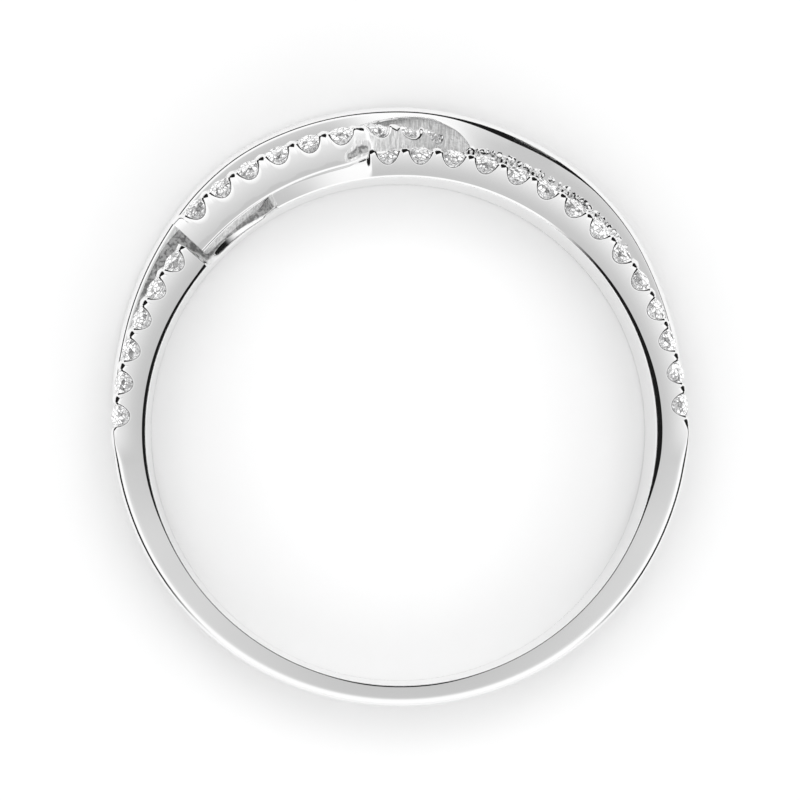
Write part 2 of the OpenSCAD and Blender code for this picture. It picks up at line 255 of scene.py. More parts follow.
def mixed_section(a: Section, b: Section, share: float) -> Section:
    """Returns the section between two of equal length, a at share 0 and b at share 1."""
    return [Mark(*(mixed(p, q, share) for p, q in zip(m, n))) for m, n in zip(a, b)]


def mirrored(section: Section) -> Section:
    """Returns a section with its front and back swapped."""
    return [m._replace(across=-m.across) for m in reversed(section)]


def rounded(corner: Mark, across: float, radius: float, turns: Sequence[float]) -> Section:
    """Rounds off a corner.

    Args:
        corner: the sharp corner.
        across: the rounding's size across the ring, negative where the metal lies towards the back.
        radius: its size along the radius, negative where the metal lies inwards.
        turns: each mark's turn, from 0 on the corner's side to 90 on its top.

    Returns:
        The marks.
    """
    return [
        corner._replace(
            across=corner.across + across * (1.0 - cos_deg(turn)),
            radius=corner.radius + radius * (1.0 - sin_deg(turn)),
        )
        for turn in turns
    ]


@dataclass(frozen=True)
class RingSizes:
    """Main sizes of the ring, the same as the CAD part's."""

    bore_r: float = 8.5
    shank_t: float = 0.7
    shank_w: float = 2.3
    shoulder_t: float = 1.1
    crown_w: float = 4.4
    crown_t: float = 2.6
    front_t: float = 1.0
    crossing_t: float = 1.68
    floor_t: float = 0.55
    lean: float = 12.0
    strand_w: float = 1.36
    polished_w: float = 1.2
    stone_d: float = 0.92
    stone_gap: float = 0.19
    seat_gap: float = 0.03
    bead_t: float = 0.14
    undercut_depth: float = 1.5
    plain_start: float = 97.0

    @property
    def front_z(self) -> float:
        """Place across the ring of the outer strands' middles."""
        return (self.crown_w - self.strand_w) / 2

    @property
    def pitch(self) -> float:
        """Distance between the middles of neighbouring stones."""
        return self.stone_d + self.stone_gap

    def half_width(self, angle: float) -> float:
        """Returns half of the ring's width at an angle."""
        return mixed(self.shank_w, self.crown_w, min(WIDTH.at(abs(angle)), 1.0)) / 2

    def shank_r(self, angle: float) -> float:
        """Returns the radius of the plain shank's top at an angle."""
        return self.bore_r + mixed(self.shank_t, self.shoulder_t, SHANK.at(abs(angle)))

    def floor_r(self, angle: float) -> float:
        """Returns the radius of the metal under the strands at an angle."""
        floor_r = self.bore_r + mixed(self.floor_t, self.shoulder_t, FLOOR.at(angle))
        return self.shank_r(angle) if abs(angle) >= self.plain_start else floor_r

    def front_face(self, angle: float) -> float:
        """Returns the place of the front edge at an angle."""
        return self.half_width(angle) - self.undercut_depth * SET_BACK.at(angle)

    def front_girdle(self, angle: float) -> float:
        """Returns the girdle radius of the front strand's stones."""
        return self.bore_r + self.front_t * FRONT_HEIGHT.at(angle)

    def front_place(self, angle: float) -> float:
        """Returns the place across the ring of the front strand's stones."""
        return self.half_width(angle) - self.strand_w / 2

    def crossing_girdle(self, angle: float) -> float:
        """Returns the girdle radius of the crossing strand's stones."""
        return self.bore_r + self.crossing_t * CROSSING.at(angle, GIRDLE)

    def heading(self, table: Table, radius: float, angle: float) -> float:
        """Returns a strand's turn off the ring's own direction at a radius, in degrees."""
        drift = self.front_z * (table.at(angle + 0.5) - table.at(angle - 0.5))
        return math.degrees(math.atan2(drift, math.radians(radius)))

    def path_point(self, table: Table, angle: float, mark: Mark) -> Vector:
        """Finds the point of a mark on the path of a strand that crosses the ring.

        Args:
            table: the strand's table.
            angle: the section's angle.
            mark: the mark, its place counted from the strand's middle.

        Returns:
            The point.
        """
        turn = self.heading(table, mark.radius, angle)
        arc = mark.along * cos_deg(turn) - mark.across * sin_deg(turn)
        across = mark.across * cos_deg(turn) + mark.along * sin_deg(turn)
        place = self.front_z * table.at(angle, PLACE)
        return ring_point(angle + degrees_of(arc, mark.radius), place + across, mark.radius)


class Strand(Enum):
    """The strands with stones, by the names of their pieces and nodes."""

    FRONT = "front"
    CROSSING = "crossing"


class Row(Enum):
    """The runs of stones: strand, first stone's angle, and the last angle that a stone may take."""

    FRONT_LEFT = (Strand.FRONT, -86.6, -52.0)
    FRONT_RIGHT = (Strand.FRONT, -2.9, 90.5)
    CROSSING_FRONT = (Strand.CROSSING, -42.7, 5.4)
    CROSSING_BACK = (Strand.CROSSING, 18.0, 68.0)

    @property
    def strand(self) -> Strand:
        """The strand that the row is on."""
        return self.value[0]

    @property
    def in_front(self) -> bool:
        """Whether the row is on the front strand."""
        return self.strand is Strand.FRONT


@dataclass(frozen=True)
class Stones:
    """Where the stones of each row sit."""

    sizes: RingSizes

    def girdle(self, row: Row, angle: float) -> float:
        """Returns the girdle radius of a stone."""
        return self.sizes.front_girdle(angle) if row.in_front else self.sizes.crossing_girdle(angle)

    def turn(self, row: Row, angle: float) -> float:
        """Returns a stone's turn off the ring's own direction, in degrees."""
        return 0.0 if row.in_front else self.sizes.heading(CROSSING, self.girdle(row, angle), angle)

    def _next(self, row: Row, angle: float) -> float:
        """Finds the stone after one.

        Args:
            row: the stones' row.
            angle: the first stone's angle.

        Returns:
            The next stone's angle.
        """
        s = self.sizes
        radius = self.girdle(row, angle)
        halfway = angle + degrees_of(s.pitch / 2, radius)
        turn = 0.0 if row.in_front else s.heading(CROSSING, radius, halfway)
        return angle + degrees_of(s.pitch * cos_deg(turn), radius)

    def angles(self, row: Row) -> list[float]:
        """Lays out a row.

        Args:
            row: the row.

        Returns:
            Its stones' angles.
        """
        _, angle, last = row.value
        found = []
        while angle <= last:
            found.append(angle)
            angle = self._next(row, angle)
        return found

    def matrix(self, row: Row, angle: float, lean: float) -> Matrix:
        """Puts a stone in its seat, with its table outwards.

        Args:
            row: the stone's row.
            angle: its angle.
            lean: how far it leans towards the side that its strand faces, in degrees.

        Returns:
            The matrix from the stone's own axes: X along the ring, Y towards the back, Z outwards.
        """
        s = self.sizes
        place = s.front_place(angle) if row.in_front else s.front_z * CROSSING.at(angle, PLACE)
        side = 1.0 if row.in_front else CROSSING.at(angle, PLACE)
        return (
            Matrix.Rotation(math.radians(-angle), 4, "Z")
            @ Matrix.Translation((0.0, self.girdle(row, angle), place))
            @ Matrix.Rotation(math.radians(-self.turn(row, angle)), 4, "Y")
            @ Matrix.Rotation(math.radians(lean * side - 90.0), 4, "X")
        )


class Slice(NamedTuple):
    """A section through a seat: its angle, and its step from the stone's middle along the outline."""

    angle: float
    step: int


@dataclass(frozen=True)
class Seat:
    """The metal round one stone, from the top of the strand's front wall to that of its back wall."""

    sizes: RingSizes
    stones: Stones
    # Outline of the notch to halfway to the next stone: distance along, height over the girdle
    outline: tuple[tuple[float, float], ...] = (
        (0.0, -0.4), (0.08, -0.389), (0.16, -0.353), (0.23, -0.295), (0.28, -0.227), (0.315, -0.15),
        (0.335, -0.07), (0.347, 0.0), (0.362, 0.055), (0.392, 0.1), (0.44, 0.13), (0.5, 0.14), (0.555, 0.14),
    )
    # Slope from the front face into the notch, as shares of its width: left to go, depth behind the face
    edge_profile: tuple[tuple[float, float], ...] = (
        (1.0, 0.0), (0.94, 0.01), (0.88, 0.03), (0.2, 0.41), (0.1, 0.5), (0.0, 0.8),
    )
    # The slope's width beside the notch and on top of a finger, and the heights between which it changes
    edge_narrow: float = 0.03
    edge_wide: float = 0.08
    top_narrow: float = 0.14
    top_wide: float = 0.23
    flank: tuple[float, float] = (-0.25, 0.0)
    finger: tuple[float, float] = (0.04, 0.13)
    shoulder: float = 0.44
    back_edge: float = 0.1
    back_turns: tuple[float, ...] = (90.0, 68.0, 45.0, 22.0, 0.0)
    bridge: float = -0.06
    bridge_half: float = 0.2
    cone: float = 41.0
    bead_inner: float = 0.46
    back_bead_inner: float = 0.36
    back_valley: float = 0.3
    rise_valley: float = 0.45
    inside: tuple[float, ...] = (0.99, 0.85, 0.62, 0.35, 0.0, -0.35, -0.62, -0.85, -0.99)
    overlap: float = 0.015

    @property
    def last(self) -> int:
        """The outline's last step, halfway to the next stone."""
        return len(self.outline) - 1

    @property
    def count(self) -> int:
        """How many marks a seat's top has."""
        return len(self.edge_profile) + len(self.inside) + len(self.back_turns) + 2

    def arc(self, step: int) -> float:
        """Returns the distance of a step from the stone's middle, negative before it."""
        return math.copysign(self.outline[abs(step)][0], step)

    def _inward(self, step: int) -> tuple[float, float]:
        """Finds the direction into the metal at a step of the outline.

        Args:
            step: the slice's step.

        Returns:
            The direction as (along, up).
        """
        i = abs(step)
        if i in (0, self.last):
            return 0.0, -1.0
        before, after = self.outline[i - 1], self.outline[i + 1]
        along, up = after[0] - before[0], after[1] - before[1]
        size = math.hypot(along, up)
        return math.copysign(up / size, step), -along / size

    def _edge(self, step: int, height: float, hand: int) -> float:
        """Finds the width of the slope round a notch, wider on one shoulder of each finger.

        Args:
            step: the slice's step along the notch's outline.
            height: the outline's height at that step.
            hand: 1 where the wide shoulder follows its stone, -1 where it comes before it.

        Returns:
            The width across the slope.
        """
        flank = mixed(self.edge_narrow, self.edge_wide, smooth_step(height, *self.flank))
        middle = smooth_step(abs(self.arc(step)), self.shoulder, self.outline[-1][0])
        side = math.copysign(1.0 - middle, step * hand)
        top = mixed(self.top_narrow, self.top_wide, (side + 1.0) / 2.0)
        return mixed(flank, top, smooth_step(height, *self.finger))

    def _cone(self, s: float, y: float) -> float:
        """Returns the height of the conical seat at a point."""
        hole = self.sizes.stone_d / 2
        return self.bridge - (hole - min(math.hypot(s, y), hole)) * tan_deg(self.cone)

    def top(
        self, step: int, girdle: float, lean: float, rise: float, depth: float, hand: int, width: float
    ) -> Section:
        """Makes a seat's top from front to back.

        Args:
            step: the slice's step along the notch's outline.
            girdle: radius of the stone's girdle.
            lean: how far the stone leans towards the front, in degrees.
            rise: extra height of the back wall.
            depth: depth of the notch, as a share of its usual one.
            hand: 1 where a finger's wide shoulder follows its stone, -1 where it comes before it.
            width: width of the slope round the notch, from 0, narrow, to 1, its usual width.

        Returns:
            The marks, with their places across counted from the strand's middle.
        """
        s = self.arc(step)
        height = self.outline[abs(step)][1]
        height = height * depth if height < 0.0 else height
        along, up = self._inward(step)
        half = self.sizes.strand_w / 2
        hole = self.sizes.stone_d / 2 + self.sizes.seat_gap
        edge = max(math.sqrt(max(hole * hole - s * s, 0.0)), self.bridge_half)
        rim = edge + self.overlap
        slope = mixed(self.edge_narrow, self._edge(step, height, hand), width)

        def leant(y: float, h: float, ceiling: float = math.inf) -> Mark:
            """Returns a point beside the stone's middle, leant with it and kept under a ceiling."""
            radius = girdle + h * cos_deg(lean) - y * sin_deg(lean)
            return Mark(y * cos_deg(lean) + h * sin_deg(lean), min(radius, ceiling))

        marks = [
            Mark(half - slope * back, girdle + height + slope * left * up, along * slope * left)
            for left, back in self.edge_profile
        ]
        land = smooth_step(rim, self.bridge_half, self.bead_inner)
        marks.append(leant(rim, mixed(self.bridge, max(height, self.bridge), land), girdle + height))
        for share in self.inside:
            ceiling = girdle + height if share >= 0 else math.inf
            marks.append(leant(share * edge, self._cone(s, share * edge), ceiling))
        scallop = mixed(self.back_valley, 1.0, (2 * s / self.sizes.pitch) ** 2)
        back_height = self.sizes.bead_t * scallop + rise * mixed(self.rise_valley, 1.0, scallop)
        back_land = smooth_step(rim, self.bridge_half, self.back_bead_inner)
        marks.append(leant(-rim, mixed(self.bridge, back_height, back_land)))
        corner = Mark(-half, leant(-half, back_height).radius)
        return marks + rounded(corner, self.back_edge, -self.back_edge, self.back_turns)

    def slices(self, row: Row) -> list[Slice]:
        """Lays out the slices along a row, each stone's from its middle out to both sides.

        Args:
            row: the row.

        Returns:
            The slices.
        """
        angles = self.stones.angles(row)
        found = []
        for i, angle in enumerate(angles):
            turn, girdle = self.stones.turn(row, angle), self.stones.girdle(row, angle)
            per_length = degrees_of(cos_deg(turn), girdle)
            first = -self.last if i == 0 else 1 - self.last
            found += [Slice(angle + per_length * self.arc(step), step) for step in range(first, self.last)]
            end = angle + per_length * self.arc(self.last)
            if i < len(angles) - 1:
                end = (angle + angles[i + 1]) / 2
            found.append(Slice(end, self.last))
        return found


class Builder:
    """Makes finished mesh pieces that ride on the ring and stand for its CAD nodes."""

    @staticmethod
    def linked(name: str, mesh: bmesh.types.BMesh) -> bpy.types.Object:
        """Turns a mesh into an object of the scene.

        Args:
            name: the object's name.
            mesh: its mesh in metres, freed at the end.

        Returns:
            The object.
        """
        data = bpy.data.meshes.new(name)
        mesh.to_mesh(data)
        mesh.free()
        made = bpy.data.objects.new(name, data)
        bpy.context.scene.collection.objects.link(made)
        return made

    @staticmethod
    def finished(name: str, mesh: bmesh.types.BMesh, smooth: bool, *nodes: str) -> bpy.types.Object:
        """Turns a mesh in millimetres into a piece in metres.

        Args:
            name: the piece's name.
            mesh: its mesh, freed at the end.
            smooth: whether it is shaded smooth except at sharp edges.
            nodes: the CAD nodes that it stands for.

        Returns:
            The piece, riding on the ring's body.
        """
        bmesh.ops.recalc_face_normals(mesh, faces=mesh.faces[:])
        bmesh.ops.scale(mesh, vec=(METRES,) * 3, verts=mesh.verts[:])
        for face in mesh.faces:
            face.smooth = smooth
        if smooth:
            for edge in mesh.edges:
                edge.smooth = not (edge.is_manifold and edge.calc_face_angle(0.0) > SHARP_EDGE)
        piece = Builder.linked(name, mesh)
        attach(piece, "root")
        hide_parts(*nodes)
        return piece

    @staticmethod
    def swept(sections: Sections, placing: Placing, loop: bool) -> bmesh.types.BMesh:
        """Draws a closed skin over sections, by laying a grid's columns on them.

        Args:
            sections: each section's angle and marks, all of equal length.
            placing: gives a mark's point from the section's angle.
            loop: whether the last section meets the first.

        Returns:
            The mesh, in millimetres, with each vertex's skin in its layer.
        """
        columns = len(sections) + (1 if loop else 0)
        rows = len(sections[0][1]) + 1
        mesh = bmesh.new()
        bmesh.ops.create_grid(mesh, x_segments=columns - 1, y_segments=rows - 1, size=1.0)
        rough = mesh.verts.layers.float.new(ROUGH_AND_SHADE_LAYER)
        for vert in mesh.verts:
            i = round((vert.co.x + 1.0) / 2.0 * (columns - 1)) % len(sections)
            j = round((vert.co.y + 1.0) / 2.0 * (rows - 1)) % (rows - 1)
            angle, marks = sections[i]
            vert.co = placing(angle, marks[j])
            vert[rough] = marks[j].rough
        bmesh.ops.remove_doubles(mesh, verts=mesh.verts[:], dist=MERGE_DISTANCE)
        bmesh.ops.dissolve_degenerate(mesh, edges=mesh.edges[:], dist=MERGE_DISTANCE)
        if not loop:
            ends = [e for e in mesh.edges if e.is_boundary]
            bmesh.ops.holes_fill(mesh, edges=ends, sides=0)
        return mesh


@dataclass(frozen=True)
class Wall:
    """A strand's front wall: how it leans back, how it curves, and its marks' shares of the way up."""

    lean: float = 0.0
    curve: float = 0.114
    shares: tuple[float, ...] = (0.18, 0.36, 0.54, 0.72, 0.88)
    # Power of the way up by which the top's shift along fades, and the place from which a top is in front
    fade: int = 5
    front: float = 0.5

    def back(self, rise: float) -> float:
        """Returns how far the wall lies behind its foot at a height above it."""
        return self.lean * rise + self.curve * rise * abs(rise)

    def marks(self, face: float, foot: float, top: Mark) -> Section:
        """Returns the marks up to a wall's top mark, of which the upper ones follow its shift along."""
        spots = [(share, mixed(foot, top.radius, share)) for share in self.shares]
        return [Mark(face - self.back(r - foot), r, top.along * share**self.fade) for share, r in spots]

    def moved(self, marks: Section, foot: float, offset: float) -> Section:
        """Returns a top's marks moved across, with the front ones on the wall that leans from its foot."""
        backs = [self.back(m.radius - foot) * limited(m.across / self.front, 0.0, 1.0) for m in marks]
        return [m._replace(across=m.across + offset - back) for m, back in zip(marks, backs)]


@dataclass(frozen=True)
class SweptPiece(ABC):
    """A metal piece drawn as a skin over sections, which its kinds lay out."""

    name: ClassVar[str]
    loop: ClassVar[bool] = False
    sizes: RingSizes

    @abstractmethod
    def sections(self) -> Sections:
        """Returns the sections along the piece."""

    @abstractmethod
    def placed(self, angle: float, mark: Mark) -> Vector:
        """Returns the point of a mark of the section at an angle."""

    def build(self) -> bpy.types.Object:
        """Returns the piece."""
        mesh = Builder.swept(self.sections(), self.placed, self.loop)
        return Builder.finished(self.name, mesh, True, METAL_NODE)


@dataclass(frozen=True)
class RingBody(SweptPiece):
    """The shank with the front strand, round the whole finger hole."""

    name = "shank_and_front_strand"
    loop = True
    seat: Seat
    wall: Wall = Wall()
    shank_wall: Wall = Wall(0.0, 0.03)
    # Front rim of the finger hole, as shares of its bevel: behind the face, above the hole
    chamfer: tuple[tuple[float, float], ...] = (
        (1.1, 0.0), (0.86, 0.03), (0.7, 0.12), (0.16, 0.8), (0.06, 0.93), (0.0, 1.0),
    )
    back_bevel: float = 0.1
    bevel_run: float = 1.4
    bevel_turns: tuple[float, ...] = (0.0, 18.0, 40.0, 65.0, 90.0)
    bore_marks: int = 5
    # Where the strand's back wall meets the floor: height and run of the corner, and of its inner mark
    corner: float = 0.12
    inner_corner: float = 0.03
    foot_drop: float = 0.05
    floor_marks: int = 4
    back_round: float = 0.2
    back_turns: tuple[float, ...] = (60.0, 30.0, 0.0)
    shank_round: float = 0.26
    round_limit: float = 0.75
    # Angles: where the fingers' wide shoulder changes sides, and where the slope narrows at the rows' ends
    hand_change: float = -8.0
    narrowing: tuple[float, float] = (87.3, 90.0)
    dip: tuple[float, float] = (-48.9, -7.6)
    dip_step: float = 0.5
    dip_round: float = 0.06
    dip_lean: float = 0.27
    dip_leaning: tuple[float, float] = (-30.0, -9.0)
    # Stretch of the dip under the crossing strand, and the skin value that makes it rough cast metal with
    # painted shade
    lens: Stretch = Stretch(-49.4, -48.2, -30.0, -28.0)
    lens_painted_shade: float = 1.85
    blend_slices: int = 14
    shank_slices: int = 72

    def _hole(self, angle: float, face: float) -> Section:
        """Makes the marks inside the finger hole and round its rims, from back to front.

        Args:
            angle: the section's angle.
            face: place of the front face.

        Returns:
            The marks.
        """
        s = self.sizes
        bevel = RIM.at(angle)
        back = -s.half_width(angle)
        run = self.back_bevel * self.bevel_run
        rim = rounded(Mark(back, s.bore_r), run, self.back_bevel, self.bevel_turns)
        inner = spread(back + run, face - bevel * self.chamfer[0][0], self.bore_marks + 2)[1:-1]
        front = [Mark(face - bevel * behind, s.bore_r + bevel * above) for behind, above in self.chamfer]
        return rim + [Mark(z, s.bore_r) for z in inner] + front

    def _rest(self, angle: float, last: Mark) -> Section:
        """Makes the marks down the strand's back wall, over the floor and round the back edge.

        Args:
            angle: the section's angle.
            last: the top's last mark.

        Returns:
            The marks.
        """
        back = -self.sizes.half_width(angle)
        floor = self.sizes.floor_r(angle)
        foot = max(last.radius - self.foot_drop, floor + self.corner)
        wall = [
            last._replace(radius=mixed(last.radius, foot, 0.5)),
            Mark(last.across, min(floor + self.corner, last.radius)),
            Mark(last.across - self.inner_corner, min(floor + self.inner_corner, last.radius)),
        ]
        flat = spread(last.across - self.corner, back + self.back_round, self.floor_marks)
        edge = rounded(Mark(back, floor), self.back_round, -self.back_round, self.back_turns)
        low = mixed(floor - self.back_round, self.sizes.bore_r + self.back_bevel, 0.5)
        return wall + [Mark(z, floor) for z in flat] + edge + [Mark(back, low)]

    def seat_section(self, angle: float, step: int) -> Section:
        """Makes a section with a seat in the front strand.

        Args:
            angle: the section's angle.
            step: its step along the notch's outline.

        Returns:
            The section's marks.
        """
        s = self.sizes
        face = s.front_face(angle)
        foot = s.bore_r + RIM.at(angle)
        hand = 1 if angle > self.hand_change else -1
        width = 1.0 - smooth_step(abs(angle), *self.narrowing)
        top = self.seat.top(step, s.front_girdle(angle), s.lean, BACK_RISE.at(angle), 1.0, hand, width)
        top = self.wall.moved(top, foot, s.front_place(angle))
        wall = self.wall.marks(face, foot, top[0])
        return self._hole(angle, face) + wall + top + self._rest(angle, top[-1])

    def plain_section(
        self, angle: float, radius: float, rounding: float, front: Wall, rough: float
    ) -> Section:
        """Makes a section without a seat, of as many marks as one with a seat.

        Args:
            angle: the section's angle.
            radius: radius of its top.
            rounding: radius of its front edge.
            front: its front wall.
            rough: skin of its wall and edge.

        Returns:
            The section's marks.
        """
        s = self.sizes
        face = s.front_face(angle)
        foot = s.bore_r + RIM.at(angle)
        size = min(rounding, self.round_limit * (radius - foot))
        crest = Mark(face - front.back(radius - size - foot), radius - size)
        turns = len(self.seat.edge_profile)
        edge = rounded(crest._replace(radius=radius, rough=rough), -size, -size, spread(0.0, 90.0, turns))
        inner = spread(face - size, face - s.strand_w, self.seat.count - turns + 1)[1:]
        flat = [Mark(z, radius) for z in inner]
        wall = [m._replace(rough=rough) for m in front.marks(face, foot, crest)]
        return self._hole(angle, face) + wall + edge + flat + self._rest(angle, flat[-1])

    def _blend(self, start: float, end: float, step: int, into: Callable[[float], Section]) -> Sections:
        """Turns the end of a row of seats into another section.

        Args:
            start: angle of the row's end.
            end: angle where the other section is reached.
            step: the row's last step.
            into: gives the other section at an angle.

        Returns:
            The sections between the two.
        """
        found = []
        for i in range(1, self.blend_slices):
            share = i / self.blend_slices
            angle = mixed(start, end, share)
            seat, other = self.seat_section(angle, step), into(angle)
            found.append((angle, mixed_section(seat, other, smooth_step(share, 0.0, 1.0))))
        return found

    def dip_section(self, angle: float) -> Section:
        """Makes a section where the front strand dips under the crossing strand.

        Args:
            angle: the section's angle.

        Returns:
            The section's marks.
        """
        radius = self.sizes.bore_r + self.sizes.front_t * FRONT_DIP.at(angle)
        front = replace(self.shank_wall, lean=self.dip_lean * smooth_step(angle, *self.dip_leaning))
        # Painted shade on the dip under the crossing strand
        rough = self.lens_painted_shade * self.lens.share(angle)
        return self.plain_section(angle, radius, self.dip_round, front, rough)

    def shank_section(self, angle: float) -> Section:
        """Returns a section of the plain shank, at an angle of up to 360 degrees."""
        turn = angle - 360.0 if angle > 180.0 else angle
        return self.plain_section(turn, self.sizes.shank_r(turn), self.shank_round, self.shank_wall, 0.0)

    def sections(self) -> Sections:
        """Makes the sections round the whole ring.

        Returns:
            The sections.
        """
        left, right = (self.seat.slices(row) for row in (Row.FRONT_LEFT, Row.FRONT_RIGHT))
        plain, last = self.sizes.plain_start, self.seat.last
        start, end = self.dip
        dips = spread(start, end, round((end - start) / self.dip_step))
        shanks = spread(plain, 360.0 - plain, self.shank_slices)
        return [
            *reversed(self._blend(left[0].angle, -plain, -last, self.shank_section)),
            *((c.angle, self.seat_section(*c)) for c in left),
            *self._blend(left[-1].angle, start, last, self.dip_section),
            *((angle, self.dip_section(angle)) for angle in dips),
            *reversed(self._blend(right[0].angle, end, -last, self.dip_section)),
            *((c.angle, self.seat_section(*c)) for c in right),
            *self._blend(right[-1].angle, plain, last, self.shank_section),
            *((angle, self.shank_section(angle)) for angle in shanks),
        ]

    def placed(self, angle: float, mark: Mark) -> Vector:
        """Returns the point of a mark of the section at an angle."""
        return ring_point(angle + degrees_of(mark.along, mark.radius), mark.across, mark.radius)


@dataclass(frozen=True)
class CrossingStrand(SweptPiece):
    """The strand with stones that crosses from the front to the back."""

    name = "crossing_strand"
    seat: Seat
    wall: Wall = Wall(0.06, 0.07)
    start: float = -47.6
    lead_slices: int = 6
    turn_over: float = 8.0
    under_angles: tuple[float, ...] = (9.6, 10.7, 12.0, 13.0, 14.0, 15.0)
    tail_end: float = 88.0
    tail_slices: int = 30
    rail_round: float = 0.09
    rail_turns: tuple[float, ...] = (90.0, 60.0, 30.0, 0.0)
    # Angles over which the slope round the notches widens at the front end, and the wall grows hollow
    widening: tuple[float, float] = (-46.2, -45.2)
    hollowing: tuple[float, float] = (-13.0, -8.5)
    hollow: float = 0.06
    # The wall's brushed stretch and its stretch of painted shade, and the shares of its height over which the
    # painted shade fades
    brushed: Stretch = Stretch(-7.5, -6.5, 9.0, 10.0)
    dark: Stretch = Stretch(-11.9, -11.0, -8.0, -7.0)
    painted_shade_fade: tuple[float, float] = (0.4, 0.7)
    # The heel behind the strand's foot: its height, how much the foot adds to it, and its clear sole
    heel: float = 0.33
    heel_rise: float = 0.85
    sole: float = 0.04
    step_in: float = 0.15
    roof: float = 0.02

    def placed(self, angle: float, mark: Mark) -> Vector:
        """Returns the point of a mark on the strand's own path."""
        return self.sizes.path_point(CROSSING, angle, mark)

    def _wall(self, angle: float, under: float, top: Mark, hollow: float) -> Section:
        """Makes the marks up the front wall, with their skins.

        Args:
            angle: the section's angle.
            under: radius of the strand's underside.
            top: the wall's top mark.
            hollow: how far the wall's foot lies back.

        Returns:
            The marks from the bottom up.
        """
        marks = self.wall.marks(self.sizes.strand_w / 2, under + self.rail_round, top)
        found = []
        for share, m in zip(self.wall.shares, marks):
            # Painted shade low on the wall, as dark cast skin, fading upwards
            dark = CAST_WITH_PAINTED_SHADE * self.dark.share(angle) * (1.0 - smooth_step(share, *self.painted_shade_fade))
            rough = max(BRUSHED * self.brushed.share(angle), dark)
            found.append(m._replace(across=m.across - hollow * (1.0 - share**2), rough=rough))
        return found

    def _inner(self, angle: float, under: float, last: Mark) -> Section:
        """Makes the marks down the strand's back, round its heel and along its underside.

        Args:
            angle: the section's angle.
            under: radius of the strand's underside.
            last: the top's last mark.

        Returns:
            The marks.
        """
        s = self.sizes
        half = s.strand_w / 2
        foot = s.undercut_depth * CROSSING.at(angle, FOOT)
        base = s.bore_r + self.heel + self.heel_rise * foot
        sole = s.bore_r + self.sole
        step = -half - foot / 2 if foot > 0.0 else -half + self.step_in
        return [
            Mark(-half, mixed(last.radius, base, 0.4)),
            Mark(-half, base),
            Mark(-half - foot / 2, mixed(base, sole, 0.6), 0.0, BRUSHED),
            Mark(-half - foot, sole),
            Mark(step, sole),
            Mark(step, mixed(sole, under, 0.6), 0.0, BRUSHED),
            Mark(mixed(step, half, 0.5), under + self.roof, 0.0, BRUSHED),
        ]

    def section(self, angle: float, step: int) -> Section:
        """Makes a section.

        Args:
            angle: the section's angle.
            step: its step along the notch's outline.

        Returns:
            The section's marks.
        """
        s = self.sizes
        turned = angle > self.turn_over
        lean = s.lean * CROSSING.at(angle, PLACE) * (-1 if turned else 1)
        under = s.bore_r + s.crossing_t * CROSSING.at(angle, UNDERSIDE)
        width = smooth_step(angle, *self.widening)
        top = self.seat.top(step, s.crossing_girdle(angle), lean, 0.0, NOTCH_DEPTH.at(angle), -1, width)
        top = mirrored(top) if turned else self.wall.moved(top, under, 0.0)
        hollow = self.hollow * smooth_step(angle, *self.hollowing)
        corner = Mark(s.strand_w / 2 - hollow, under)
        rail = rounded(corner, -self.rail_round, self.rail_round, self.rail_turns)
        return rail + self._wall(angle, under, top[0], hollow) + top + self._inner(angle, under, top[-1])

    def sections(self) -> Sections:
        """Makes the sections from the strand's front end to its tail.

        Returns:
            The sections.
        """
        last = self.seat.last
        front, back = (self.seat.slices(row) for row in (Row.CROSSING_FRONT, Row.CROSSING_BACK))
        lead = [Slice(a, -last) for a in spread(self.start, front[0].angle, self.lead_slices)[:-1]]
        under = [Slice(a, last) for a in self.under_angles]
        tail = [Slice(a, last) for a in spread(back[-1].angle, self.tail_end, self.tail_slices)[1:]]
        return [(c.angle, self.section(*c)) for c in lead + front + under + back + tail]


